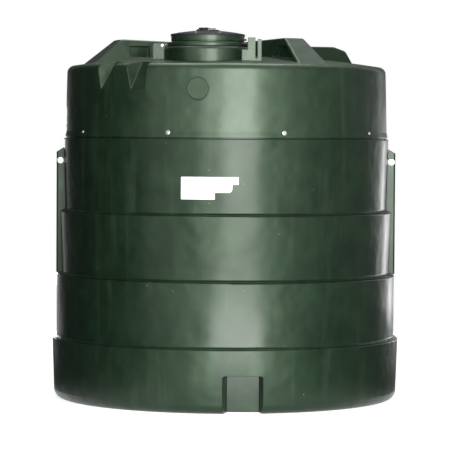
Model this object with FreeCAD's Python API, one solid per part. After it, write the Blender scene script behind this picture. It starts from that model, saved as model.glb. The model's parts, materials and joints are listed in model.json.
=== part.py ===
import FreeCAD
import Part
import math
import os
from FreeCAD import Vector

# Double-walled (bunded) effluent tank. Millimetres, +Z up, the front faces -Y.
# The origin is the centre of the base, on the ground.

# Mouldings
wall = 8.0                      # wall of every rotomoulded shell
fit = 0.3                       # gap between pieces that only meet
pin_fit = 0.05                  # radial gap of a running pin

# Outer bund: a foot band and three wall bands. Each band widens upwards, and a ledge at its
# top steps in to the next. The tapers and steps run from the highest band down
rim_radius = 891.0              # top of the highest band
band_tapers = (10.0, 11.0, 2.0)
ledge_steps = (26.0, 32.0, 23.0)
foot_taper = 11.0
foot_round = 50.0
foot_height = 335.0             # height of the first ring
band_height = 344.5             # from one ring to the next
bund_height = 1421.0            # height of the ledge that carries the cover
bead_round = 6.0                # rounded edge above each band
bead_lip = 8.0                  # from the bead's outside to the groove
groove_width = 4.0
groove_depth = 4.0
ledge_rise = 11.0               # slope of the ledge up to the next band
ledge_round = 7.0
ring_inside_drop = 30.0         # how far below a ring the inside steps in

# Spigot on top of the bund, inside the cover's skirt
seat_step = 11.0                # rim to the seat
shadow_gap = 6.0                # open joint line under the skirt
spigot_step = 25.0              # rim to the outside of the spigot
spigot_height = 55.0

# Side fins with lashing eyes
fin_proud = 39.0                # beyond the bund's rim
fin_width = 100.0
fin_top = 1372.0
fin_slope = 34.0
fin_round = 10.0
eye_height = 1297.0
eye_inset = 23.0                # from the fin's outer face to the eye
bush_radius = 10.0
bush_bore = 6.0
bush_flange_radius = 16.0
bush_flange = 2.5

# Recess in the foot, at the front
recess_centre = 95.0
recess_front_width = 224.0
recess_back_width = 167.0
recess_height = 200.0
recess_draft = 6.0
recess_round = 14.0
recess_gap = 23.0               # between its back wall and the inner tank

# Top cover
cover_step = 5.0                # bund rim to the outside of the skirt
skirt_lip = 6.0                 # height of the straight lip
flare_height = 30.0
flare = 5.0
skirt_taper = 9.0
skirt_height = 381.0
shoulder_round = 38.0
dome_rise = 70.0
screw_count = 9
screw_height = 25.0             # above the skirt's lower edge

# Radial ribs: direction in degrees, then the points of the sloping outer end, each the
# distance in from the shoulder and the height above the dome's crown
rib_layout = ((201.0, ((42.0, -88.0), (244.0, 74.0))),
              (305.0, ((42.0, -88.0), (249.0, 78.0))),
              (30.0, ((77.0, -88.0), (140.0, 35.0), (215.0, 58.0))),
              (130.0, ((42.0, -88.0), (222.0, 58.0))))
rib_hub_rise = 54.0             # height of the ribs above the crown at the centre
rib_width = 163.0               # at the height of the crown
rib_draft = 0.24                # side slope, across for each unit of height
rib_tip_round = 36.0
rib_edge_round = 13.0

# Hand pockets: the rib, the side it is in (1 is the side towards the next rib), and its
# corners, each the distance along the rib and the height above the crown
pocket_layout = ((201.0, 1, ((472.0, -21.0), (587.0, -21.0), (587.0, 38.0), (472.0, 38.0))),
                 (305.0, -1, ((540.0, -20.0), (735.0, -34.0), (650.0, 36.0), (575.0, 36.0))))
pocket_web = 45.0               # from the rib's middle plane to the pocket's back wall
pocket_round = 5.0

# Strap notches cut into the shoulder at the front left, open at the top
notch_directions = (221.0, 235.3)
notch_width = 84.0              # of the floor
notch_drop = 128.0              # from the shoulder down to the floor's lower edge
notch_depth = 88.0              # how far in the floor has sloped at the shoulder's height
notch_left_draft = 0.4          # slope of the side walls, across for each unit outwards
notch_right_draft = 0.17
notch_round = 7.0

# Moulded round blank
blank_direction = 260.2
blank_radius = 56.0
blank_proud = 7.0
blank_height = 254.0            # above the skirt's lower edge
blank_groove = 5.0

# Manway neck
manway_x = -100.0
manway_y = -520.0
neck_radius = 232.0
neck_rise = 25.0                # landing above the dome's crown
neck_round = 16.0
throat_inset = 45.0             # neck radius to the radius of the landing's hole
neck_gap = 3.0                  # between the landing's hole and the inner neck

# Manway lid
seal_height = 5.0
brim_inset = 18.0               # neck radius to brim radius
brim_height = 20.0
brim_round = 8.0
lid_groove = 6.0
lid_groove_round = 1.0
lid_skirt_round = 2.0
lid_skirt_inset = 20.0          # brim radius to skirt radius
lid_skirt_height = 34.0
lid_wall = 6.0
lid_rise = 20.0                 # dome of the lid's top
lid_spigot_gap = 4.0
lid_spigot_height = 22.0
crown_thickness = 4.0
crown_overhang = 3.0
crown_rim = 6.0

# Lid hinge, left of the neck, pin along Y
hinge_gap = 26.0                # from the brim to the pin
hinge_lift = 9.0                # pin above the landing
hinge_pin_radius = 4.0
knuckle_radius = 11.0
knuckle_width = 39.0
knuckle_play = 0.6              # gap at each end of the knuckle
ear_thickness = 15.0
ear_length = 58.0
ear_rise = 12.0                 # ear's top above the pin
clip_radius = 7.0
clip_thickness = 3.0

# Lock post, right of the neck, and the lid's lock tab
post_root = 53.0                # from the neck's outside inwards, to the post's left end
post_notch = 22.0               # from there inwards, to the right end of the notch
post_reach = 18.0               # from there outwards, to the slot
post_slot = 11.0
upright_width = 21.0
post_near = 200.0               # from the lid's centre to its front face
post_depth = 40.0
post_notch_drop = 16.0          # notch floor below the landing
post_rise = 47.0                # top above the landing
upright_drop = 8.0
post_round = 3.0
tab_direction = -33.0
tab_reach = 24.0                # beyond the brim
tab_width = 26.0
tab_thickness = 10.0
tab_hole = 5.0

# Lockable filler in the middle of the lid
filler_offset = -22.0           # from the lid's centre
filler_bore = 18.0
filler_wall = 4.0
filler_plate_length = 112.0
filler_plate_width = 56.0
filler_plate = 3.0
spout_rise = 3.0
boss_height = 1.0
flap_radius = 25.0
flap_thickness = 8.0
flap_hinge_gap = 5.0
flap_knuckle = 5.0
flap_knuckle_width = 19.0
flap_ear = 6.0
flap_pin_radius = 2.5
tongue_width = 22.0
tongue_thickness = 4.0
tongue_end = 43.0
staple_bar = 3.0
staple_left = 9.0
staple_right = 32.0
staple_rise = 21.0
staple_slot = 1.5               # clearance of the slot round the staple
nut_height = 10.0
nut_width = 29.0

# Inner tank
interspace = 103.0              # between its wall and the narrowest band
roof_gap = 102.0                # between its roof and the cover
inner_round = 60.0
inner_shoulder_round = 70.0

# Vent, behind the ribs
vent_x = 117.0
vent_y = 382.0
vent_radius = 30.0
vent_wall = 4.0
vent_flange_radius = 50.0
vent_flange = 6.0
vent_gasket_height = 3.0
vent_pad_radius = 66.0
vent_pad_rise = 6.0
vent_stub = 24.0                # pipe above the cover's pad
vent_thread = 34.0              # pipe below the inner roof
vent_gauze_height = 14.0
vent_cap_radius = 50.0
vent_cap_height = 30.0
vent_cap_wall = 4.0
grommet_wall = 4.0
grommet_lip = 4.0

# Small fasteners
screw_radius = 4.0
screw_head_radius = 9.0
screw_head_height = 5.0
washer_radius = 12.0
washer_thickness = 1.6
spot_depth = 2.0
insert_radius = 7.0
insert_flange_radius = 10.0
insert_flange = 2.0
rivet_radius = 3.0
rivet_head_radius = 6.0
rivet_head = 2.0
rivet_head_round = 1.8
rivet_count = 8
rivet_inset = 30.0

# Modelling
over = 1.0                      # how far a cutting shape runs past what it cuts
tolerance = 0.01                # for telling which edges lie where

# Sizes that follow
band_radii = []                 # bottom and top radius of each band, from the lowest up
band_top_radius = rim_radius
for taper, ledge_step in zip(band_tapers, ledge_steps):
    band_radii.insert(0, (band_top_radius - taper, band_top_radius))
    band_top_radius += ledge_step - taper
foot_top_radius = band_top_radius
foot_radius = foot_top_radius - foot_taper
narrowest_radius = rim_radius - band_tapers[0]
seat_radius = rim_radius - seat_step
spigot_radius = rim_radius - spigot_step
fin_radius = rim_radius + fin_proud
seat_z = bund_height + shadow_gap
spigot_top = seat_z + spigot_height
skirt_radius = rim_radius - cover_step
skirt_mid_radius = skirt_radius - flare
skirt_top_radius = skirt_mid_radius - skirt_taper
rim_z = seat_z + skirt_height
crown_z = rim_z + dome_rise
landing_z = crown_z + neck_rise
screw_z = seat_z + screw_height
inner_radius = narrowest_radius - wall - interspace
inner_rim_z = rim_z - wall - roof_gap
inner_crown_z = crown_z - wall - roof_gap
throat_radius = neck_radius - throat_inset
inner_neck_radius = throat_radius - neck_gap
recess_back = inner_radius + recess_gap + wall
manway = (manway_x, manway_y)
lid_z = landing_z + seal_height
brim_radius = neck_radius - brim_inset
lid_radius = brim_radius - lid_skirt_inset
skirt_z = lid_z + brim_height + lid_groove
lid_top_z = skirt_z + lid_skirt_height
lid_crown_z = lid_top_z + lid_rise
hinge_x = manway_x - brim_radius - hinge_gap
hinge_z = landing_z + hinge_lift
vent = (vent_x, vent_y)

ORIGIN = Vector(0, 0, 0)
UP = Vector(0, 0, 1)
ALONG_X = Vector(1, 0, 0)
ALONG_Y = Vector(0, 1, 0)


def corner_arc(before, here, after, radius):
    """Start, middle and end of the arc that rounds the corner at here."""
    back = (before - here).normalize()
    ahead = (after - here).normalize()
    half = back.getAngle(ahead) / 2
    reach = radius / math.tan(half)
    inward = (back + ahead).normalize()
    middle = here + inward * (radius / math.sin(half) - radius)
    return here + back * reach, middle, here + ahead * reach


def outline(steps):
    """Closed wire in the XZ plane. (x, z, r) is a corner rounded by r; (x, z) is a point
    that the side between two corners passes through as an arc."""
    corners = []
    bulges = {}
    for step in steps:
        if len(step) == 2:
            bulges[len(corners) - 1] = Vector(step[0], 0, step[1])
        else:
            corners.append(step)
    points = [Vector(x, 0, z) for x, z, radius in corners]
    edges = []
    ends = []
    for index, corner in enumerate(corners):
        here = points[index]
        if corner[2] > 0:
            after = points[(index + 1) % len(points)]
            start, middle, end = corner_arc(points[index - 1], here, after, corner[2])
            edges.append(Part.Arc(start, middle, end).toShape())
            ends.append((start, end))
        else:
            ends.append((here, here))
    for index in range(len(ends)):
        end = ends[index][1]
        following = ends[(index + 1) % len(ends)][0]
        if index in bulges:
            edges.append(Part.Arc(end, bulges[index], following).toShape())
        else:
            edges.append(Part.LineSegment(end, following).toShape())
    return Part.Wire(Part.__sortEdges__(edges))


def turned(steps, centre=(0.0, 0.0)):
    """Solid of revolution about a vertical axis."""
    solid = Part.Face(outline(steps)).revolve(ORIGIN, UP, 360)
    solid.translate(Vector(centre[0], centre[1], 0))
    return solid


def slab(steps, half_width):
    """XZ outline given a thickness along Y, centred on the XZ plane."""
    solid = Part.Face(outline(steps)).extrude(Vector(0, 2 * half_width, 0))
    solid.translate(Vector(0, -half_width, 0))
    return solid


def disc(radius, low, high, centre=(0.0, 0.0)):
    """Upright cylinder between two heights."""
    return Part.makeCylinder(radius, high - low, Vector(centre[0], centre[1], low), UP)


def ring(outer, inner, low, high, centre=(0.0, 0.0)):
    """Upright tube between two heights."""
    return disc(outer, low, high, centre).cut(disc(inner, low, high, centre))


def rod(radius, start, end, x, z):
    """Cylinder along Y from start to end at the given x and z."""
    return Part.makeCylinder(radius, end - start, Vector(x, start, z), ALONG_Y)


def spoke(radius, start, end, z):
    """Cylinder along the +X radius, between two distances from the axis."""
    return Part.makeCylinder(radius, end - start, Vector(start, 0, z), ALONG_X)


def block(x, y, z):
    """Box from three (low, high) pairs."""
    return Part.makeBox(x[1] - x[0], y[1] - y[0], z[1] - z[0], Vector(x[0], y[0], z[0]))


def faced(shape, degrees, centre=(0.0, 0.0)):
    """Copy turned about a vertical axis, from +X towards +Y."""
    copy = shape.copy()
    copy.rotate(Vector(centre[0], centre[1], 0), UP, degrees)
    return copy


def joined(shapes):
    """Shapes fused to one, in the order given."""
    body = shapes[0]
    for shape in shapes[1:]:
        body = body.fuse(shape)
    return body


def level_edges(shape, z):
    """Edges that lie wholly at one height."""
    return [edge for edge in shape.Edges
            if abs(edge.BoundBox.ZMin - z) < tolerance and abs(edge.BoundBox.ZMax - z) < tolerance]


def dome_z(distance, rim_radius, rim, crown):
    """Height of a spherical dome at a distance from its axis."""
    rise = crown - rim
    sphere = (rim_radius ** 2 + rise ** 2) / (2 * rise)
    return crown - sphere + math.sqrt(sphere ** 2 - distance ** 2)


def cover_dome_z(distance):
    """Height of the cover's outside at a distance from the tank's axis."""
    return dome_z(distance, skirt_top_radius, rim_z, crown_z)


# Outer bund

def bund_skin():
    """Filled outside shape of the bund, without fins or recess."""
    steps = [(0, 0, 0), (foot_radius, 0, foot_round)]
    top_radius = foot_top_radius
    ring_z = foot_height
    for bottom, top in band_radii:
        steps.append((top_radius, ring_z - groove_width / 2, bead_round))
        steps.append((top_radius - bead_lip, ring_z - groove_width / 2, 0))
        steps.append((top_radius - bead_lip - groove_depth, ring_z, 0))
        steps.append((top_radius - bead_lip, ring_z + groove_width / 2, 0))
        steps.append((bottom, ring_z + ledge_rise, ledge_round))
        top_radius = top
        ring_z += band_height
    steps.append((rim_radius, bund_height, bead_round))
    steps.append((seat_radius, bund_height, 0))
    steps.append((seat_radius, seat_z, 0))
    steps.append((spigot_radius, seat_z, 0))
    steps.append((spigot_radius, spigot_top, 0))
    steps.append((0, spigot_top, 0))
    return turned(steps)


def bund_cavity():
    """Filled inside shape of the bund."""
    steps = [(0, wall, 0), (foot_radius - wall, wall, foot_round - wall)]
    top_radius = foot_top_radius
    ring_z = foot_height
    for bottom, top in band_radii:
        steps.append((top_radius - wall, ring_z - ring_inside_drop, wall))
        steps.append((bottom - wall, ring_z - wall, wall))
        top_radius = top
        ring_z += band_height
    steps.append((rim_radius - wall, bund_height - ring_inside_drop, wall))
    steps.append((spigot_radius - wall, bund_height, 0))
    steps.append((spigot_radius - wall, spigot_top, 0))
    steps.append((0, spigot_top, 0))
    return turned(steps)


def fin():
    """Side fin on the +X side, still filled towards the axis."""
    low = foot_height + band_height + groove_width / 2 + over
    side = slab([(narrowest_radius - wall, low, 0), (fin_radius + wall, low, 0),
                 (fin_radius + wall, fin_top - fin_slope, 0),
                 (rim_radius - wall, fin_top, 0),
                 (narrowest_radius - wall, fin_top, 0)], fin_width / 2)
    body = side.common(disc(fin_radius, low, fin_top))
    corners = [edge for edge in body.Edges
               if abs(abs(edge.CenterOfMass.y) - fin_width / 2) < tolerance
               and edge.BoundBox.XMin > rim_radius + over]
    return body.makeFillet(fin_round, corners)


def recess(extra):
    """Filled recess, larger by extra on its inner sides."""
    front = foot_top_radius + 2 * wall
    back = recess_back - extra
    sections = []
    for y, width, height in ((-front, recess_front_width, recess_height),
                             (-back, recess_back_width, recess_height - recess_draft)):
        half = width / 2 + extra
        top = height + extra
        corner_round = recess_round + extra
        section = outline([(-half, -wall, 0), (half, -wall, 0),
                           (half, top, corner_round), (-half, top, corner_round)])
        section.translate(Vector(recess_centre, y, 0))
        sections.append(section)
    return Part.makeLoft(sections, True, True)


def outer_bund():
    skin = bund_skin().cut(recess(0))
    fins = [fin(), faced(fin(), 180)]
    hollow = bund_cavity().cut(recess(wall))
    body = joined([skin] + fins).cut(hollow)
    eye_x = fin_radius - eye_inset
    for side in (-1, 1):
        body = body.cut(rod(bush_radius + fit, -fin_width, fin_width, side * eye_x, eye_height))
    for index in range(screw_count):
        hole = spoke(insert_radius + fit / 3, spigot_radius - 2 * wall, spigot_radius + wall, screw_z)
        body = body.cut(faced(hole, screw_direction(index)))
    return body


def lashing_bush(side):
    """Flanged sleeve through a fin, flange to the front."""
    x = side * (fin_radius - eye_inset)
    near = -fin_width / 2
    far = fin_width / 2 + bush_flange
    sleeve = rod(bush_radius, near, far, x, eye_height)
    flange = rod(bush_flange_radius, near - bush_flange, near, x, eye_height)
    bore = rod(bush_bore, near - bush_flange, far, x, eye_height)
    return sleeve.fuse(flange).cut(bore).removeSplitter()


def lashing_retainers():
    """Push-on rings at the back ends of both sleeves."""
    rings = []
    for side in (-1, 1):
        x = side * (fin_radius - eye_inset)
        near = fin_width / 2
        outer = rod(bush_flange_radius, near, near + bush_flange, x, eye_height)
        rings.append(outer.cut(rod(bush_radius, near, near + bush_flange, x, eye_height)))
    return Part.makeCompound(rings)


# Top cover

def spot_face():
    """Distance from the axis to the flat under a washer."""
    return skirt_mid_radius - spot_depth


def screw_direction(index):
    """Direction of a cover screw, with two of them beside the front."""
    return 270 + (index + 0.5) * 360 / screw_count


def cover_body(inset):
    """Filled skirt, shoulder and dome, with every face moved in by inset."""
    rim_radius = skirt_top_radius - inset
    low = seat_z
    middle_radius = rim_radius / 2
    bulge_z = dome_z(middle_radius, rim_radius, rim_z - inset, crown_z - inset)
    steps = [(0, low, 0), (skirt_radius - inset, low, 0),
             (skirt_radius - inset, low + skirt_lip, 0),
             (skirt_mid_radius - inset, low + flare_height, 0),
             (rim_radius, rim_z - inset, 0), (middle_radius, bulge_z),
             (0, crown_z - inset, 0)]
    body = turned(steps)
    return body.makeFillet(shoulder_round - inset / 2, level_edges(body, rim_z - inset))


def rib(direction, end, inset):
    """Filled radial rib: a drafted bar whose outer end follows the given points."""
    behind = -2 * wall
    low = crown_z + end[0][1]
    high = crown_z + end[-1][1] + wall
    steps = [(behind, low, 0)]
    for index, (distance_in, rise) in enumerate(end):
        steps.append((skirt_top_radius - distance_in, crown_z + rise, rib_tip_round if index else 0))
    steps.append((behind, crown_z + rib_hub_rise, 0))
    profile = outline(steps)
    if inset:
        profile = profile.makeOffset2D(-inset)
    side = Part.Face(profile).extrude(Vector(0, 2 * rib_width, 0))
    side.translate(Vector(0, -rib_width, 0))
    half_low = rib_width / 2 - inset + rib_draft * (crown_z - low)
    half_high = rib_width / 2 - inset - rib_draft * (high - crown_z)
    bar = slab([(-half_low, low, 0), (half_low, low, 0), (half_high, high, 0), (-half_high, high, 0)],
               skirt_top_radius)
    bar.rotate(ORIGIN, UP, 90)
    body = side.common(bar)
    if not inset:
        upper = [edge for edge in body.Edges
                 if edge.BoundBox.ZMax > crown_z and edge.BoundBox.XMax > wall
                 and abs(edge.CenterOfMass.y) > wall]
        body = body.makeFillet(rib_edge_round, upper)
    return faced(body, direction)


def pockets(extra):
    """Filled hand pockets, larger by extra on their inner sides."""
    cut_outs = []
    for direction, side, corners in pocket_layout:
        wire = outline([(x, crown_z + rise, pocket_round) for x, rise in corners])
        if extra:
            wire = wire.makeOffset2D(extra)
        shape = Part.Face(wire).extrude(Vector(0, rib_width, 0))
        floor = pocket_web - extra
        if side > 0:
            shape.translate(Vector(0, floor, 0))
        else:
            shape.translate(Vector(0, -floor - rib_width, 0))
        cut_outs.append(faced(shape, direction))
    return cut_outs


def neck(inset):
    """Filled manway neck."""
    low = rim_z
    return turned([(0, low, 0), (neck_radius - inset, low, 0),
                   (neck_radius - inset, landing_z - inset, neck_round - inset),
                   (0, landing_z - inset, 0)], manway)


def notch(direction, extra):
    """Filled strap notch, larger by extra on its inner sides: one level section, open outwards
    and drafted, that moves inwards as it rises."""
    low = rim_z - notch_drop - wall
    rise = notch_drop + shoulder_round + wall
    slope = notch_depth / notch_drop
    face = skirt_top_radius + slope * wall + over
    near = face - extra * math.hypot(1, slope)
    far = face + slope * rise
    reach = far - near
    section = outline([(near, -extra, notch_round + extra),
                       (near, notch_width + extra, notch_round + extra),
                       (far, notch_width + extra + notch_right_draft * reach, 0),
                       (far, -extra - notch_left_draft * reach, 0)])
    section.rotate(ORIGIN, ALONG_X, -90)    # from upright to level
    section.translate(Vector(0, 0, low))
    body = Part.Face(section).extrude(Vector(-slope * rise, 0, rise))
    return faced(body, direction)


def blank(radius, depth, proud):
    """Disc on the skirt's front, from a depth below its surface to proud of it."""
    z = seat_z + blank_height
    share = (z - seat_z - flare_height) / (skirt_height - flare_height)
    face = skirt_mid_radius - skirt_taper * share
    return faced(spoke(radius, face - depth, face + proud, z), blank_direction)


def ear_span():
    """Half the distance over both hinge ears."""
    return knuckle_width / 2 + knuckle_play + ear_thickness


def hinge_ears():
    """Block left of the neck that becomes the two hinge ears."""
    high = hinge_z + ear_rise
    left = manway_x - neck_radius - ear_length
    right = manway_x - neck_radius + wall
    body = slab([(left, rim_z, 0), (right, rim_z, 0), (right, landing_z - neck_round, 0),
                 (hinge_x + ear_rise, high, ear_rise), (left, high, ear_rise)], ear_span())
    body.translate(Vector(0, manway_y, 0))
    return body


def hinge_cuts():
    """Slot for the lid's knuckle and the hole for its pin."""
    half_slot = knuckle_width / 2 + knuckle_play
    clear = knuckle_radius + 2 * knuckle_play
    slot = block((manway_x - neck_radius - ear_length - wall, manway_x - neck_radius + wall),
                 (manway_y - half_slot, manway_y + half_slot), (hinge_z - clear, hinge_z + clear + wall))
    hole = rod(hinge_pin_radius, manway_y - ear_span() - wall, manway_y + ear_span() + wall,
               hinge_x, hinge_z)
    return [slot, hole]


def lock_post():
    """Notched post and slim upright right of the neck, on one foot."""
    top = landing_z + post_rise
    notch = landing_z - post_notch_drop
    middle_y = manway_y - post_near + post_depth / 2
    left = neck_radius - post_root
    notch_end = neck_radius - post_notch
    slot_left = neck_radius + post_reach
    upright_left = slot_left + post_slot
    right = upright_left + upright_width
    foot_top = cover_dome_z(abs(middle_y)) + wall
    body = slab([(left, rim_z, 0), (right, rim_z, 0),
                 (right, top - upright_drop, post_round),
                 (upright_left, top - upright_drop, post_round),
                 (upright_left, foot_top, post_round), (slot_left, foot_top, post_round),
                 (slot_left, top, post_round), (notch_end, top, post_round),
                 (notch_end, notch, post_round), (left, notch, 0)], post_depth / 2)
    body.translate(Vector(manway_x, middle_y, 0))
    return body


def outer_pad_z():
    """Top of the flat pad for the vent on the cover."""
    return cover_dome_z(math.hypot(vent_x, vent_y)) + vent_pad_rise


def top_cover():
    outer = [cover_body(0), neck(0)]
    inner = [cover_body(wall), neck(wall)]
    for direction, end in rib_layout:
        outer.append(rib(direction, end, 0))
        inner.append(rib(direction, end, wall))
    outer.append(blank(blank_radius, wall, blank_proud))
    outer.append(disc(vent_pad_radius, rim_z, outer_pad_z(), vent))
    outer += [hinge_ears(), lock_post()]
    hollow = joined(inner)
    for cut_out in pockets(wall) + [notch(direction, wall) for direction in notch_directions]:
        hollow = hollow.cut(cut_out)
    body = joined(outer)
    for cut_out in pockets(0) + [notch(direction, 0) for direction in notch_directions]:
        body = body.cut(cut_out)
    body = body.cut(hollow)
    groove = blank(blank_radius + blank_groove, blank_groove / 2, wall)
    body = body.cut(groove.cut(blank(blank_radius, wall, 2 * wall)))
    body = body.cut(disc(throat_radius, rim_z, landing_z + wall, manway))
    for cut_out in hinge_cuts():
        body = body.cut(cut_out)
    body = body.cut(disc(vent_radius + grommet_wall, rim_z, outer_pad_z() + wall, vent))
    for index in range(screw_count):
        direction = screw_direction(index)
        spot = spoke(washer_radius + fit, spot_face(), skirt_radius + wall, screw_z)
        hole = spoke(screw_radius + fit, spigot_radius, skirt_radius + wall, screw_z)
        body = body.cut(faced(spot, direction)).cut(faced(hole, direction))
    return body


# Cover fixings, drawn on the +X radius and repeated round the skirt

def round_the_skirt(shape):
    """One copy for each cover screw."""
    return Part.makeCompound([faced(shape, screw_direction(index)) for index in range(screw_count)])


def cover_screws():
    under_head = spot_face() + washer_thickness
    head = spoke(screw_head_radius, under_head, under_head + screw_head_height, screw_z)
    rim = [edge for edge in head.Edges if edge.BoundBox.XMin > under_head + screw_head_height - tolerance]
    head = head.makeFillet(screw_head_height / 2, rim)
    shank = spoke(screw_radius, spigot_radius - wall, under_head, screw_z)
    return round_the_skirt(head.fuse(shank).removeSplitter())


def cover_washers():
    washer = spoke(washer_radius, spot_face(), spot_face() + washer_thickness, screw_z)
    bore = spoke(screw_radius + fit, spigot_radius, skirt_radius, screw_z)
    return round_the_skirt(washer.cut(bore))


def cover_inserts():
    inside = spigot_radius - wall
    barrel = spoke(insert_radius, inside - insert_flange / 2, spigot_radius - fit, screw_z)
    flange = spoke(insert_flange_radius, inside - insert_flange, inside - insert_flange / 2, screw_z)
    bore = spoke(screw_radius + pin_fit, inside - wall, spigot_radius + wall, screw_z)
    return round_the_skirt(barrel.fuse(flange).cut(bore).removeSplitter())


# Inner tank

def inner_shape(inset):
    """Filled inner vessel and neck, with every face moved in by inset."""
    radius = inner_radius - inset
    rim = inner_rim_z - inset
    crown = inner_crown_z - inset
    steps = [(0, wall + inset, 0), (radius, wall + inset, inner_round - inset), (radius, rim, 0),
             (radius / 2, dome_z(radius / 2, radius, rim, crown)), (0, crown, 0)]
    body = turned(steps)
    body = body.makeFillet(inner_shoulder_round - inset, level_edges(body, rim))
    throat = disc(inner_neck_radius - inset, rim, landing_z, manway)
    pad = disc(vent_pad_radius - inset, rim, inner_pad_z() - inset, vent)
    return joined([body, throat, pad])


def inner_pad_z():
    """Top of the flat pad for the vent on the inner roof."""
    return dome_z(math.hypot(vent_x, vent_y), inner_radius, inner_rim_z, inner_crown_z) + vent_pad_rise


def inner_tank():
    body = inner_shape(0).cut(inner_shape(wall))
    return body.cut(disc(vent_radius + fit, inner_rim_z, inner_pad_z() + over, vent))


# Vent

def vent_pipe():
    gasket_top = inner_pad_z() + vent_gasket_height
    tube = ring(vent_radius, vent_radius - vent_wall, inner_pad_z() - vent_thread,
                outer_pad_z() + vent_stub, vent)
    flange = ring(vent_flange_radius, vent_radius - over, gasket_top, gasket_top + vent_flange, vent)
    return tube.fuse(flange).removeSplitter()


def vent_gasket():
    return ring(vent_flange_radius, vent_radius + fit, inner_pad_z(),
                inner_pad_z() + vent_gasket_height, vent)


def hexagon(across_flats, low, high, centre):
    """Upright hexagonal bar."""
    radius = across_flats / math.sqrt(3)
    points = [Vector(centre[0] + radius * math.cos(math.radians(60 * index)),
                     centre[1] + radius * math.sin(math.radians(60 * index)), low)
              for index in range(7)]
    return Part.Face(Part.makePolygon(points)).extrude(Vector(0, 0, high - low))


def vent_nut():
    top = inner_pad_z() - wall
    body = hexagon(2 * vent_flange_radius, top - vent_thread / 2, top, vent)
    return body.cut(disc(vent_radius + pin_fit, top - vent_thread, top, vent))


def vent_grommet():
    """Rubber ring gripping the edge of the hole in the cover."""
    pad = outer_pad_z()
    inner = vent_radius + pin_fit
    middle = vent_radius + grommet_wall - pin_fit
    lip = middle + grommet_lip
    return turned([(inner, pad - wall - grommet_lip, 0), (middle, pad - wall - grommet_lip, 0),
                   (middle, pad, 0), (lip, pad, 0), (lip, pad + grommet_lip, 0),
                   (inner, pad + grommet_lip, 0)], vent)


def vent_gauze():
    low = outer_pad_z() + vent_stub
    return ring(vent_radius, vent_radius - vent_wall / 2, low, low + vent_gauze_height, vent)


def vent_cap():
    """Mushroom cap that sits on the gauze and shields it."""
    under = outer_pad_z() + vent_stub + vent_gauze_height
    top = under + vent_cap_wall
    low = top - vent_cap_height
    outer = vent_cap_radius
    inner = outer - vent_cap_wall
    return turned([(0, under, 0), (inner, under, 0), (inner, low, 0), (outer, low, 0),
                   (outer, top, vent_cap_wall), (vent_radius, top + vent_cap_wall, 0),
                   (0, top + vent_cap_wall, 0)], vent)


# Manway lid

def lid_dome_z(distance, raised):
    """Height of the lid's domed top, or of a face raised above it."""
    return dome_z(distance, lid_radius, lid_top_z + raised, lid_crown_z + raised)


def manway_lid():
    spigot = inner_neck_radius - wall - lid_spigot_gap
    bore = lid_radius - 2 * lid_wall
    under = -lid_wall
    steps = [(spigot - lid_wall, lid_z - lid_spigot_height, 0), (spigot, lid_z - lid_spigot_height, 0),
             (spigot, lid_z, 0), (brim_radius, lid_z, 0),
             (brim_radius, lid_z + brim_height, brim_round),
             (lid_radius - lid_wall / 2, lid_z + brim_height, lid_groove_round),
             (lid_radius - lid_wall / 2, skirt_z, 0),
             (lid_radius, skirt_z, lid_skirt_round), (lid_radius, lid_top_z, 0),
             (lid_radius / 2, lid_dome_z(lid_radius / 2, 0)), (0, lid_crown_z, 0),
             (0, lid_dome_z(0, under), 0), (bore / 2, lid_dome_z(bore / 2, under)),
             (bore, lid_dome_z(bore, under), 0), (bore, lid_z + lid_wall, 0),
             (spigot - lid_wall, lid_z + lid_wall, 0)]
    body = turned(steps, manway)
    tab = block((lid_radius - lid_wall, brim_radius + tab_reach), (-tab_width / 2, tab_width / 2),
                (skirt_z, skirt_z + tab_thickness))
    corners = [edge for edge in tab.Edges if edge.BoundBox.ZLength > tab_thickness - tolerance
               and edge.BoundBox.XMin > brim_radius]
    tab = tab.makeFillet(tab_width / 4, corners)
    tab = tab.cut(disc(tab_hole, skirt_z - over, lid_top_z, (brim_radius + tab_reach / 2, 0)))
    tab.translate(Vector(manway_x, manway_y, 0))
    tab = faced(tab, tab_direction, manway)
    near = manway_y - knuckle_width / 2
    far = manway_y + knuckle_width / 2
    knuckle = rod(knuckle_radius, near, far, hinge_x, hinge_z)
    arm = block((hinge_x, manway_x - brim_radius + brim_round), (near, far),
                (lid_z, lid_z + brim_height - brim_round / 2))
    pin_hole = rod(hinge_pin_radius + pin_fit, near - over, far + over, hinge_x, hinge_z)
    body = joined([body, tab, knuckle, arm]).cut(pin_hole)
    plate_hole = disc(filler_bore + filler_wall + fit, lid_z, lid_crown_z + wall, filler_centre())
    return body.cut(plate_hole)


def lid_seal():
    return ring(brim_radius - brim_round, inner_neck_radius - wall, landing_z + fit, lid_z, manway)


def lid_hinge_pin():
    half = ear_span()
    shank = rod(hinge_pin_radius, manway_y - half, manway_y + half + 2 * clip_thickness, hinge_x, hinge_z)
    head = rod(clip_radius, manway_y - half - clip_thickness, manway_y - half, hinge_x, hinge_z)
    edges = [edge for edge in head.Edges if edge.BoundBox.YMax < manway_y - half - clip_thickness + tolerance]
    return head.makeFillet(clip_thickness / 2, edges).fuse(shank).removeSplitter()


def lid_pin_clip():
    low = manway_y + ear_span()
    outer = rod(clip_radius, low, low + clip_thickness, hinge_x, hinge_z)
    return outer.cut(rod(hinge_pin_radius, low, low + clip_thickness, hinge_x, hinge_z))


def crown_top_z():
    """Flat seat for the filler in the middle of the crown."""
    return lid_crown_z + crown_thickness + boss_height


def crown_radius():
    return lid_radius + crown_overhang


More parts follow.
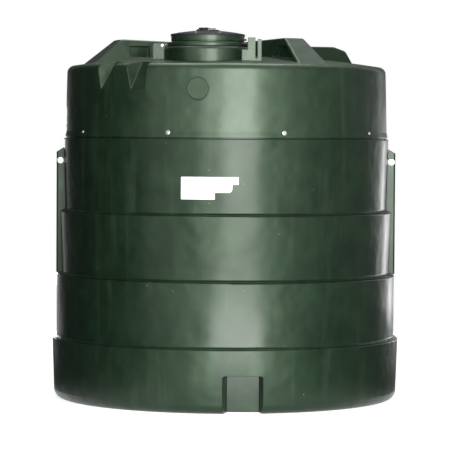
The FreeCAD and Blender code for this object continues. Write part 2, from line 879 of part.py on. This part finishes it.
def on_crown(shape, index):
    """Shape drawn at the middle of the crown, moved square to the dome to a rivet's place."""
    sphere = (lid_radius ** 2 + lid_rise ** 2) / (2 * lid_rise)
    tilt = math.degrees(math.asin((lid_radius - rivet_inset) / sphere))
    copy = shape.copy()
    copy.rotate(Vector(manway_x, manway_y, lid_crown_z + crown_thickness - sphere), ALONG_Y, tilt)
    return faced(copy, 360 * (index + 0.5) / rivet_count, manway)


def lid_crown():
    """Black domed plate with a turned-down rim."""
    inner = lid_radius + fit
    outer = crown_radius()
    steps = [(0, lid_crown_z + fit / 3, 0), (lid_radius / 2, lid_dome_z(lid_radius / 2, fit / 3)),
             (inner, lid_top_z + fit / 3, 0), (inner, lid_top_z - crown_rim, 0),
             (outer, lid_top_z - crown_rim, 0), (outer, lid_top_z + crown_thickness / 2, 0),
             (lid_radius, lid_top_z + crown_thickness, 0),
             (lid_radius / 2, lid_dome_z(lid_radius / 2, crown_thickness)),
             (0, lid_crown_z + crown_thickness, 0)]
    body = turned(steps, manway)
    boss = ring(filler_plate_length / 2 + wall, filler_bore, lid_crown_z + crown_thickness / 2,
                crown_top_z(), manway)
    body = body.fuse(boss).removeSplitter()
    body = body.cut(disc(filler_bore + filler_wall + fit, lid_z, crown_top_z() + over, filler_centre()))
    hole = disc(rivet_radius + pin_fit, lid_z, crown_top_z(), manway)
    for index in range(rivet_count):
        body = body.cut(on_crown(hole, index))
    return body


def crown_rivets():
    """Dome-headed rivets through the crown."""
    face = lid_crown_z + crown_thickness + pin_fit
    head = disc(rivet_head_radius, face, face + rivet_head, manway)
    head = head.makeFillet(rivet_head_round, level_edges(head, face + rivet_head))
    shank = disc(rivet_radius, face - crown_thickness + fit, face, manway)
    rivet = head.fuse(shank).removeSplitter()
    return Part.makeCompound([on_crown(rivet, index) for index in range(rivet_count)])


# Lockable filler

def filler_centre():
    return (manway_x + filler_offset, manway_y)


def spout_top_z():
    return crown_top_z() + filler_plate + spout_rise


def flap_hinge():
    """x and z of the flap's pin."""
    return (manway_x + filler_offset - flap_radius - flap_hinge_gap, spout_top_z() + flap_thickness / 2)


def filler_base():
    """Plate with rounded ends, spout, and two ears for the flap's pin."""
    half = filler_plate_length / 2 - filler_plate_width / 2
    low = crown_top_z()
    high = low + filler_plate
    plate = joined([block((manway_x - half, manway_x + half),
                          (manway_y - filler_plate_width / 2, manway_y + filler_plate_width / 2),
                          (low, high)),
                    disc(filler_plate_width / 2, low, high, (manway_x - half, manway_y)),
                    disc(filler_plate_width / 2, low, high, (manway_x + half, manway_y))])
    spout = disc(filler_bore + filler_wall, lid_top_z - nut_height, spout_top_z(), filler_centre())
    hinge_at, pin_z = flap_hinge()
    ear_radius = flap_knuckle
    half_gap = flap_knuckle_width / 2 + fit
    ears = []
    for start in (manway_y - half_gap - flap_ear, manway_y + half_gap):
        ears.append(rod(ear_radius, start, start + flap_ear, hinge_at, pin_z))
        ears.append(block((hinge_at - ear_radius, hinge_at + ear_radius), (start, start + flap_ear),
                          (low, pin_z)))
    body = joined([plate, spout] + ears)
    body = body.cut(disc(filler_bore, lid_z, lid_crown_z + 2 * neck_radius, filler_centre()))
    body = body.cut(rod(flap_pin_radius, manway_y - neck_radius, manway_y + neck_radius, hinge_at, pin_z))
    for x in (staple_left, staple_right):
        body = body.cut(disc(staple_bar, low - over, high + over, (manway_x + x, manway_y)))
    return body


def filler_nut():
    """Ring nut that clamps the spout under the lid's top."""
    top = lid_dome_z(filler_bore + filler_wall - filler_offset + nut_width / 3, -lid_wall) - fit
    body = hexagon(2 * nut_width, top - nut_height, top, filler_centre())
    return body.cut(disc(filler_bore + filler_wall + pin_fit, lid_z, lid_crown_z, filler_centre()))


def filler_staple():
    """Round bar bent to a U, standing in two holes of the plate."""
    low = crown_top_z() + fit
    top = crown_top_z() + filler_plate + staple_rise - staple_bar
    radius = (staple_right - staple_left) / 2
    centre_x = manway_x + (staple_left + staple_right) / 2
    straight = top - radius
    left = Vector(manway_x + staple_left, manway_y, low)
    left_top = Vector(manway_x + staple_left, manway_y, straight)
    crest = Vector(centre_x, manway_y, top)
    right_top = Vector(manway_x + staple_right, manway_y, straight)
    right = Vector(manway_x + staple_right, manway_y, low)
    path = Part.Wire([Part.LineSegment(left, left_top).toShape(),
                      Part.Arc(left_top, crest, right_top).toShape(),
                      Part.LineSegment(right_top, right).toShape()])
    section = Part.Wire([Part.makeCircle(staple_bar, left, UP)])
    return path.makePipeShell([section], True, False)


def filler_flap():
    """Round flap with a hinge knuckle at the left and a slotted tongue at the right."""
    hinge_at, pin_z = flap_hinge()
    low = spout_top_z() + fit
    high = low + flap_thickness
    cap = disc(flap_radius, low, high, filler_centre())
    cap = cap.makeFillet(flap_thickness / 3, level_edges(cap, high))
    seat = disc(filler_bore + filler_wall / 2, low, low + flap_thickness / 3, filler_centre())
    near = manway_y - flap_knuckle_width / 2
    far = manway_y + flap_knuckle_width / 2
    knuckle = rod(flap_knuckle - fit, near, far, hinge_at, pin_z)
    arm = block((hinge_at, filler_centre()[0]), (near, far), (low, high - flap_thickness / 3))
    arm = arm.cut(rod(flap_knuckle - fit, near, far, hinge_at, pin_z))
    tongue = block((filler_centre()[0], manway_x + tongue_end),
                   (manway_y - tongue_width / 2, manway_y + tongue_width / 2),
                   (low, low + tongue_thickness))
    tip = [edge for edge in tongue.Edges if edge.BoundBox.ZLength > tongue_thickness - tolerance
           and edge.BoundBox.XMin > manway_x + tongue_end - tolerance]
    tongue = tongue.makeFillet(tongue_width / 4, tip)
    slot = block((manway_x + staple_left - staple_bar - staple_slot,
                  manway_x + staple_right + staple_bar + staple_slot),
                 (manway_y - staple_bar - staple_slot, manway_y + staple_bar + staple_slot),
                 (low - over, high + over))
    body = joined([cap, knuckle, arm, tongue]).cut(slot).cut(seat)
    return body.cut(rod(flap_pin_radius + pin_fit, near - over, far + over, hinge_at, pin_z))


def filler_seal():
    low = spout_top_z() + fit
    return disc(filler_bore + filler_wall / 2, low, low + flap_thickness / 3, filler_centre())


def filler_hinge_pin():
    hinge_at, pin_z = flap_hinge()
    half = flap_knuckle_width / 2 + fit + flap_ear
    return rod(flap_pin_radius, manway_y - half, manway_y + half, hinge_at, pin_z)


def export(name, shape):
    """One STEP file for each node."""
    shape.exportStep("parts/" + name + ".step")


os.makedirs("parts", exist_ok=True)
export("outer_bund", outer_bund())
export("lashing_bush_left", lashing_bush(-1))
export("lashing_bush_right", lashing_bush(1))
export("lashing_retainers", lashing_retainers())
export("top_cover", top_cover())
export("cover_screws", cover_screws())
export("cover_washers", cover_washers())
export("cover_inserts", cover_inserts())
export("inner_tank", inner_tank())
export("vent_pipe", vent_pipe())
export("vent_gasket", vent_gasket())
export("vent_nut", vent_nut())
export("vent_grommet", vent_grommet())
export("vent_gauze", vent_gauze())
export("vent_cap", vent_cap())
export("manway_lid", manway_lid())
export("lid_seal", lid_seal())
export("lid_hinge_pin", lid_hinge_pin())
export("lid_pin_clip", lid_pin_clip())
export("lid_crown", lid_crown())
export("crown_rivets", crown_rivets())
export("filler_base", filler_base())
export("filler_nut", filler_nut())
export("filler_staple", filler_staple())
export("filler_flap", filler_flap())
export("filler_seal", filler_seal())
export("filler_hinge_pin", filler_hinge_pin())
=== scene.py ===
import json
import math
import bpy
import bmesh
from mathutils import Matrix, Vector
from mathutils.bvhtree import BVHTree


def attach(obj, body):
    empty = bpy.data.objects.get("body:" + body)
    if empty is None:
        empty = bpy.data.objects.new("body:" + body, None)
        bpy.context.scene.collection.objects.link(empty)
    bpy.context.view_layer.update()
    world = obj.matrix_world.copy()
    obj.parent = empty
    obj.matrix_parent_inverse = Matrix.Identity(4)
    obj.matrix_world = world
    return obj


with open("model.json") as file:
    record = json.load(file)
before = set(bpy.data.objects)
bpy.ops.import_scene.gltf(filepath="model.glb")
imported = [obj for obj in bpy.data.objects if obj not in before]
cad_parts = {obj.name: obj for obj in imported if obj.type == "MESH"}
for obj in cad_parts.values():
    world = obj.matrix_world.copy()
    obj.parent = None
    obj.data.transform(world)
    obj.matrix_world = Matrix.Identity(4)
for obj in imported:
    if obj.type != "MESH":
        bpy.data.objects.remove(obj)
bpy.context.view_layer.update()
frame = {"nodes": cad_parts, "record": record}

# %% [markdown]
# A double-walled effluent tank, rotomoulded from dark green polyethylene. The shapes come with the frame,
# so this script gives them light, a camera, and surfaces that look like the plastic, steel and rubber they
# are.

nodes = frame["nodes"]
print("pieces in the frame:", len(nodes))

# %% [markdown]
# The photograph was taken from far back with a long lens, a little below the height of the manway and
# tilted down about two degrees. A far camera keeps the ledge rings almost straight. The picture leans a
# third of a degree, so the camera is rolled by as much.

# %% The camera
camera_place = (-0.006, -13.96, 1.457)
camera_down = 2.09
camera_lean = 0.35
camera_lens = 203.4
camera_sensor = 36.0
camera_reach = 100.0


def add_object(name, data):
    """New object in the scene's own collection."""
    thing = bpy.data.objects.new(name, data)
    bpy.context.scene.collection.objects.link(thing)
    return thing


camera_data = bpy.data.cameras.new("camera")
camera_data.sensor_width = camera_sensor
camera_data.lens = camera_lens
camera_data.clip_end = camera_reach
camera = add_object("camera", camera_data)
tilt = Matrix.Rotation(math.radians(90.0 - camera_down), 4, "X")
roll = Matrix.Rotation(math.radians(camera_lean), 4, "Z")
camera.matrix_world = Matrix.Translation(camera_place) @ tilt @ roll
bpy.context.scene.camera = camera
print("camera", [round(v, 3) for v in camera.matrix_world.translation])

# %% [markdown]
# The background is white to the camera, and to glossy and clear surfaces, so that the bright screws show it
# too. Everything else is lit by a dim room and a few soft lamps. The strength is set apart for the two,
# which keeps the white paper look without more light on the tank.

# %% The room
paper_white = (1.0, 1.0, 1.0, 1.0)
paper_strength = 1.0
room_strength = 0.2


def seen_share(tree):
    """One for rays from the camera, from gloss and through clear surfaces, nought for the rest."""
    path = tree.nodes.new("ShaderNodeLightPath")
    total = path.outputs["Is Camera Ray"]
    for ray in ("Is Glossy Ray", "Is Transmission Ray"):
        larger = tree.nodes.new("ShaderNodeMath")
        larger.operation = "MAXIMUM"
        tree.links.new(total, larger.inputs[0])
        tree.links.new(path.outputs[ray], larger.inputs[1])
        total = larger.outputs["Value"]
    return total


def background(tree, strength):
    """White background of one strength."""
    node = tree.nodes.new("ShaderNodeBackground")
    node.inputs["Color"].default_value = paper_white
    node.inputs["Strength"].default_value = strength
    return node.outputs["Background"]


bpy.context.scene.view_settings.view_transform = "Standard"
world = bpy.data.worlds.new("room")
bpy.context.scene.world = world
world.use_nodes = True
tree = world.node_tree
tree.nodes.clear()
out = tree.nodes.new("ShaderNodeOutputWorld")
mix = tree.nodes.new("ShaderNodeMixShader")
tree.links.new(seen_share(tree), mix.inputs["Fac"])
tree.links.new(background(tree, room_strength), mix.inputs[1])
tree.links.new(background(tree, paper_strength), mix.inputs[2])
tree.links.new(mix.outputs["Shader"], out.inputs["Surface"])
print("world", world.name)

# %% [markdown]
# A round glossy wall shows a lamp as an upright band of light, halfway between the camera's direction and
# the lamp's, so the places of the lamps follow from the bands in the photograph: one broad band a little
# right of the middle with a weaker one at its left, and a narrow one close to the right edge, below the
# cover. A low lamp lights the foot. The top lamp lights the dome, and the back lamp is there for whoever
# walks round the tank. It hangs below the dome's rim, so that the dome doesn't mirror it.

# %% The lamps


def lamp(name, place, target, width, height, watts):
    """Soft rectangular lamp aimed at a point."""
    data = bpy.data.lights.new(name, "AREA")
    data.shape = "RECTANGLE"
    data.size = width
    data.size_y = height
    data.energy = watts
    thing = add_object(name, data)
    aim = (Vector(target) - Vector(place)).to_track_quat("-Z", "Y")
    thing.matrix_world = Matrix.Translation(place) @ aim.to_matrix().to_4x4()
    thing.visible_camera = False


tank_middle = (0.0, 0.0, 1.05)
lamp("front", place=(0.95, -6.0, 2.15), target=tank_middle, width=2.5, height=3.7, watts=400.0)
lamp("front_left", place=(-1.1, -6.0, 2.3), target=tank_middle, width=1.2, height=3.4, watts=55.0)
lamp("front_low", place=(0.35, -3.2, 0.16), target=(0.0, -0.95, 0.12), width=1.7, height=0.26, watts=42.0)
lamp("right_edge", place=(2.7, 3.0, 0.75), target=(0.8, 0.0, 0.75), width=0.5, height=1.2, watts=13.0)
lamp("top", place=(0.0, 1.0, 5.5), target=(0.0, 0.0, 1.8), width=3.0, height=3.0, watts=110.0)
lamp("back", place=(-0.8, 6.0, 0.95), target=(0.0, 0.0, 0.95), width=2.8, height=1.4, watts=170.0)

# %% [markdown]
# Dark flanks are what makes a round glossy thing look round. A photographer gets them with flags, which are
# dark boards to the left and right, out of the picture. The wall mirrors them between the bands of light.
# The right one is a little lighter, as the right flank is in the photograph. Two more lie on the floor for
# the foot. A grey board high up behind keeps the rib ends and the dome from mirroring the white background.

# %% The flags
upright, flat = 90.0, 0.0


def plane(name, size):
    """Square sheet in a mesh of its own."""
    mesh = bpy.data.meshes.new(name)
    shape = bmesh.new()
    bmesh.ops.create_grid(shape, x_segments=1, y_segments=1, size=size / 2.0)
    shape.to_mesh(mesh)
    shape.free()
    thing = add_object(name, mesh)
    return thing


def flag(name, size, place, turn, shade, axis="Y"):
    """Dark board near the tank, turned up from the floor, that only reflections show."""
    board = plane(name, size)
    board.matrix_world = Matrix.Translation(place) @ Matrix.Rotation(math.radians(turn), 4, axis)
    board.visible_camera = False
    board.visible_diffuse = False
    board.visible_shadow = False
    cloth = bpy.data.materials.new(name)
    cloth.use_nodes = True
    shader = cloth.node_tree.nodes["Principled BSDF"]
    shader.inputs["Base Color"].default_value = (shade, shade, shade, 1.0)
    shader.inputs["Roughness"].default_value = 1.0
    board.data.materials.append(cloth)


flag("left_flag", size=9.0, place=(-4.0, 1.5, 4.5), turn=upright, shade=0.01)
flag("left_floor_flag", size=6.5, place=(-4.3, 0.25, 0.005), turn=flat, shade=0.01)
flag("right_flag", size=6.5, place=(4.0, 0.25, 3.25), turn=upright, shade=0.28)
flag("right_floor_flag", size=6.5, place=(4.3, 0.25, 0.005), turn=flat, shade=0.05)
flag("back_flag", size=10.0, place=(0.0, 7.5, 6.7), turn=upright, shade=0.3, axis="X")

# %% [markdown]
# The floor is a plain pale sheet. For the camera it has most of its white from itself and the rest from the
# lamps, so it comes out white and still keeps the tank's soft shadow.

# %% The floor
floor_size = 9.0
floor_grey = (0.5, 0.5, 0.5, 1.0)
floor_glow = (0.84, 0.84, 0.84, 1.0)

floor = plane("floor", floor_size)
floor_finish = bpy.data.materials.new("pale_floor")
floor_finish.use_nodes = True
tree = floor_finish.node_tree
tree.nodes.clear()
out = tree.nodes.new("ShaderNodeOutputMaterial")
both = tree.nodes.new("ShaderNodeAddShader")
matt = tree.nodes.new("ShaderNodeBsdfDiffuse")
matt.inputs["Color"].default_value = floor_grey
glow = tree.nodes.new("ShaderNodeEmission")
glow.inputs["Color"].default_value = floor_glow
tree.links.new(seen_share(tree), glow.inputs["Strength"])
tree.links.new(matt.outputs["BSDF"], both.inputs[0])
tree.links.new(glow.outputs["Emission"], both.inputs[1])
tree.links.new(both.outputs["Shader"], out.inputs["Surface"])
floor.data.materials.append(floor_finish)
print("floor", tuple(floor.dimensions))

# %% [markdown]
# All the finishes are made of the same few things: noise placed in the piece's own metres, which is spread
# over a range, mixes two colours, sets the roughness or raises the surface. The helper below has one method
# for each.

# %% A helper for finishes


class Finish:
    """Material whose nodes are added and wired by short names."""

    fineness = 0.55

    def __init__(self, name):
        self.material = bpy.data.materials.new(name)
        self.material.use_nodes = True
        self.tree = self.material.node_tree
        self.shader = self.tree.nodes["Principled BSDF"]
        self.place = self.add("ShaderNodeTexCoord").outputs["Object"]

    def add(self, kind, **settings):
        node = self.tree.nodes.new(kind)
        for key, value in settings.items():
            setattr(node, key, value)
        return node

    def wire(self, source, target):
        self.tree.links.new(source, target)

    def reckon(self, operation, first, second=None):
        """Arithmetic on an output and, where it is given, on another output or a plain number."""
        node = self.add("ShaderNodeMath", operation=operation)
        self.wire(first, node.inputs[0])
        if isinstance(second, float):
            node.inputs[1].default_value = second
        elif second:
            self.wire(second, node.inputs[1])
        return node.outputs["Value"]

    def stretched(self, scale):
        """The piece's coordinates, scaled apart along each axis."""
        node = self.add("ShaderNodeMapping")
        node.inputs["Scale"].default_value = scale
        self.wire(self.place, node.inputs["Vector"])
        return node.outputs["Vector"]

    def noise(self, scale, detail=4.0, where=None):
        node = self.add("ShaderNodeTexNoise")
        node.inputs["Scale"].default_value = scale
        node.inputs["Detail"].default_value = detail
        node.inputs["Roughness"].default_value = self.fineness
        self.wire(where or self.place, node.inputs["Vector"])
        return node.outputs["Fac"]

    def spread(self, value, low, high, to_low, to_high):
        """Maps one range onto another, and goes on beyond the ends."""
        node = self.add("ShaderNodeMapRange", clamp=False)
        node.inputs["From Min"].default_value = low
        node.inputs["From Max"].default_value = high
        node.inputs["To Min"].default_value = to_low
        node.inputs["To Max"].default_value = to_high
        self.wire(value, node.inputs["Value"])
        return node.outputs["Result"]

    def blend(self, factor, first, second):
        """Mix of two colours, each an output or a plain colour."""
        node = self.add("ShaderNodeMix", data_type="RGBA")
        self.wire(factor, node.inputs["Factor"])
        for socket, colour in ((node.inputs["A"], first), (node.inputs["B"], second)):
            if isinstance(colour, tuple):
                socket.default_value = colour
            else:
                self.wire(colour, socket)
        return node.outputs["Result"]

    def bump(self, height, strength, distance, below=None):
        """Raised surface, laid over another where one is given."""
        node = self.add("ShaderNodeBump")
        node.inputs["Strength"].default_value = strength
        node.inputs["Distance"].default_value = distance
        self.wire(height, node.inputs["Height"])
        if below:
            self.wire(below, node.inputs["Normal"])
        return node.outputs["Normal"]

    def rounded(self, radius):
        """Edges that catch the light as if they had a radius."""
        node = self.add("ShaderNodeBevel", samples=6)
        node.inputs["Radius"].default_value = radius
        return node.outputs["Normal"]

    def dots(self, scale, size, share):
        """One on a sparse scatter of round dots, nought elsewhere."""
        node = self.add("ShaderNodeTexVoronoi")
        node.inputs["Scale"].default_value = scale
        self.wire(self.place, node.inputs["Vector"])
        parts = self.add("ShaderNodeSeparateColor")
        self.wire(node.outputs["Color"], parts.inputs["Color"])
        near = self.reckon("LESS_THAN", node.outputs["Distance"], size)
        some = self.reckon("LESS_THAN", parts.outputs["Red"], share)
        return self.reckon("MULTIPLY", near, some)

    def barrels(self, base, pitch, depth, below):
        """Walls that swell a little between ledge rings, which stand one pitch apart from the base up."""
        parts = self.add("ShaderNodeSeparateXYZ")
        self.wire(self.place, parts.inputs["Vector"])
        turn = self.spread(parts.outputs["Z"], base, base + pitch, 0.0, 2.0 * math.pi)
        swell = self.spread(self.reckon("COSINE", turn), 1.0, -1.0, 0.0, 1.0)
        return self.bump(swell, 1.0, depth, below)

    def plain(self, socket, value):
        """Plain value on one of the shader's own sockets."""
        self.shader.inputs[socket].default_value = value

    def colour(self, output):
        self.wire(output, self.shader.inputs["Base Color"])

    def roughness(self, output):
        self.wire(output, self.shader.inputs["Roughness"])

    def normal(self, output):
        self.wire(output, self.shader.inputs["Normal"])


print("finish helper", [name for name in vars(Finish) if not name.startswith("_")])

# %% [markdown]
# Rotomoulded polyethylene is glossy at a distance and faintly pebbled close up. Its colour is mottled,
# because the powder melts unevenly, with pale scuffs that run down the wall and a few specks. Its walls are
# never quite flat, so reflections on it wander, and between two ledge rings the lower tank swells a little.

# %% Green plastic
deep_green, light_green = (0.003, 0.010, 0.005, 1.0), (0.006, 0.017, 0.008, 1.0)
scuffed_green, pale_speck = (0.03, 0.046, 0.031, 1.0), (0.22, 0.27, 0.21, 1.0)
gloss_tint = (0.7, 1.0, 0.66, 1.0)
scuff_stretch, ripple_stretch = (14.0, 14.0, 1.3), (3.0, 3.0, 45.0)
edge_radius = 0.008
lowest_ring, ring_pitch, wall_swell = 0.335, 0.3445, 0.008


def tank_plastic(name, banded=False):
    """Green polyethylene, with swelling between the ledge rings where it is banded."""
    finish = Finish(name)
    mottle = finish.spread(finish.noise(9.0, 6.0), 0.35, 0.65, 0.0, 1.0)
    ground = finish.blend(mottle, deep_green, light_green)
    scuff_noise = finish.noise(1.0, 5.0, finish.stretched(scuff_stretch))
    ground = finish.blend(finish.spread(scuff_noise, 0.56, 0.75, 0.0, 0.35), ground, scuffed_green)
    specks = finish.dots(scale=22.0, size=0.045, share=0.16)
    finish.colour(finish.blend(specks, ground, pale_speck))
    finish.roughness(finish.spread(finish.noise(5.0, 5.0), 0.3, 0.7, 0.42, 0.56))
    finish.plain("Coat Weight", 0.35)
    finish.plain("Coat Roughness", 0.22)
    finish.plain("Specular Tint", gloss_tint)
    surface = finish.rounded(edge_radius)
    if banded:
        finish.plain("Specular IOR Level", 0.3)
        surface = finish.barrels(lowest_ring, ring_pitch, wall_swell, surface)
    waves = finish.bump(finish.noise(4.5, 2.0), 0.6, 0.03, surface)
    ripples = finish.bump(finish.noise(1.0, 3.0, finish.stretched(ripple_stretch)), 0.5, 0.0012, waves)
    finish.normal(finish.bump(finish.noise(230.0, 3.0), 0.12, 0.0008, ripples))
    return finish.material


finishes = {"green_plastic": tank_plastic("green_polyethylene")}
print("finishes", sorted(finishes))

# %% [markdown]
# The black lid plate and filler are dull and nearly black. The screws and lashing eyes are brushed steel,
# and the inserts brass. Seals are rubber with a dusty bloom. Each is mottled and grained at its own scale.

# %% Black plastic, metals and rubber


def dark_plastic():
    finish = Finish("black_plastic")
    mottle = finish.spread(finish.noise(40.0, 4.0), 0.35, 0.65, 0.0, 1.0)
    finish.colour(finish.blend(mottle, (0.012, 0.013, 0.013, 1.0), (0.024, 0.026, 0.025, 1.0)))
    finish.roughness(finish.spread(finish.noise(25.0, 4.0), 0.3, 0.7, 0.45, 0.62))
    finish.plain("Specular IOR Level", 0.15)
    finish.normal(finish.bump(finish.noise(300.0, 3.0), 0.2, 0.0006))
    return finish.material


def metal(name, light, dark, rough):
    """Brushed metal whose roughness wanders round a middle value."""
    finish = Finish(name)
    grain = finish.spread(finish.noise(420.0, 3.0), 0.3, 0.7, 0.0, 1.0)
    finish.colour(finish.blend(grain, dark, light))
    finish.plain("Metallic", 1.0)
    finish.roughness(finish.spread(finish.noise(90.0, 4.0), 0.3, 0.7, rough - 0.08, rough + 0.12))
    finish.normal(finish.bump(finish.noise(600.0, 2.0), 0.08, 0.0003))
    return finish.material


def rubber():
    finish = Finish("seal_rubber")
    bloom = finish.spread(finish.noise(70.0, 5.0), 0.4, 0.7, 0.0, 1.0)
    finish.colour(finish.blend(bloom, (0.012, 0.012, 0.012, 1.0), (0.035, 0.035, 0.034, 1.0)))
    finish.roughness(finish.spread(finish.noise(60.0, 3.0), 0.3, 0.7, 0.65, 0.85))
    finish.normal(finish.bump(finish.noise(500.0, 2.0), 0.15, 0.0004))
    return finish.material


finishes["black_plastic"] = dark_plastic()
finishes["stainless"] = metal("stainless_steel", (0.66, 0.66, 0.64, 1.0), (0.5, 0.5, 0.49, 1.0), 0.3)
finishes["brass"] = metal("brass", (0.72, 0.55, 0.27, 1.0), (0.55, 0.4, 0.18, 1.0), 0.32)
finishes["rubber"] = rubber()
print("finishes", sorted(finishes))

# %% [markdown]
# Each piece in the frame names the finish that it takes, so the finishes go on in one pass. Only the lower
# tank then gets the banded kind of its green plastic.

# %% Finishes on the pieces
for part in frame["record"]["subparts"]:
    piece = nodes[part["node"]]
    piece.data.materials.clear()
    piece.data.materials.append(finishes[part["material_slot"]])
lower_tank = nodes["outer_bund"]
lower_tank.data.materials[0] = tank_plastic("green_banded_polyethylene", banded=True)

# %% [markdown]
# The tank carries one white sticker at the front of its top band, blank here. Its right side goes down in
# three steps, as in the photograph, and the lower corner of the middle step is the roundest. It is drawn
# flat, cut into a net fine enough to bend, and laid on the wall.

# %% The sticker's shape
sticker_left, sticker_top = -0.232, 1.224
sticker_steps = ((0.066, 1.185), (0.033, 1.143), (-0.057, 1.108))
sticker_right, sticker_bottom = sticker_steps[0][0], sticker_steps[-1][1]
round_corner = sticker_steps[1]
round_radius, round_segments = 0.02, 6
corner_radius, corner_segments = 0.003, 2
sticker_net = 0.01
sticker_weld = 0.0001
sticker_gap = 0.0002
sticker_film = 0.0005
across, up = Vector((1.0, 0.0, 0.0)), Vector((0.0, 0.0, 1.0))
in_front, backwards = -2.0, Vector((0.0, 1.0, 0.0))


def sticker_outline():
    """Corners of the sticker as x and z, from the top left one round to the bottom left one."""
    corners = [(sticker_left, sticker_top)]
    above = sticker_top
    for right, below in sticker_steps:
        corners += [(right, above), (right, below)]
        above = below
    return corners + [(sticker_left, above)]


def cut_net(shape, axis, low, high):
    """Cuts the flat sticker across an axis at every step of the net."""
    for step in range(1, int((high - low) / sticker_net) + 1):
        bmesh.ops.bisect_plane(shape, geom=shape.verts[:] + shape.edges[:] + shape.faces[:],
                               dist=sticker_weld, plane_co=axis * (low + step * sticker_net), plane_no=axis)


def lay_on(wall, shape):
    """Moves each point of the flat net back until it lies on the wall."""
    for point in shape.verts:
        hit = wall.ray_cast(Vector((point.co.x, in_front, point.co.z)), backwards)[0]
        point.co.y = hit.y - sticker_gap


shape = bmesh.new()
outline = sticker_outline()
shape.faces.new([shape.verts.new((x, 0.0, z)) for x, z in outline])
for corner, place in zip(shape.verts[:], outline):
    wide = place == round_corner
    bmesh.ops.bevel(shape, geom=[corner], offset=round_radius if wide else corner_radius,
                    segments=round_segments if wide else corner_segments, profile=0.5, affect="VERTICES",
                    material=-1)
cut_net(shape, across, sticker_left, sticker_right)
cut_net(shape, up, sticker_bottom, sticker_top)
bmesh.ops.remove_doubles(shape, verts=shape.verts[:], dist=sticker_weld)
lay_on(BVHTree.FromObject(lower_tank, bpy.context.evaluated_depsgraph_get()), shape)
front = bmesh.ops.extrude_face_region(shape, geom=shape.faces[:])["geom"]
bmesh.ops.translate(shape, verts=[v for v in front if isinstance(v, bmesh.types.BMVert)],
                    vec=-sticker_film * backwards)
bmesh.ops.recalc_face_normals(shape, faces=shape.faces[:])
sticker_mesh = bpy.data.meshes.new("sticker")
shape.to_mesh(sticker_mesh)
shape.free()
sticker = add_object("sticker", sticker_mesh)
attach(sticker, "tank")
print("sticker", len(sticker_mesh.polygons), "faces")

# %% [markdown]
# The sticker's vinyl has weathered a little, so its white is not quite even.

# %% The sticker's vinyl
vinyl = Finish("white_vinyl")
faded = vinyl.spread(vinyl.noise(30.0, 4.0), 0.35, 0.65, 0.0, 1.0)
vinyl.colour(vinyl.blend(faded, (0.86, 0.86, 0.85, 1.0), (0.92, 0.92, 0.92, 1.0)))
vinyl.roughness(vinyl.spread(vinyl.noise(60.0, 3.0), 0.3, 0.7, 0.3, 0.45))
vinyl.normal(vinyl.bump(vinyl.noise(90.0, 3.0), 0.2, 0.0004))
sticker_mesh.materials.append(vinyl.material)
print("vinyl on", sticker.name)

# %% [markdown]
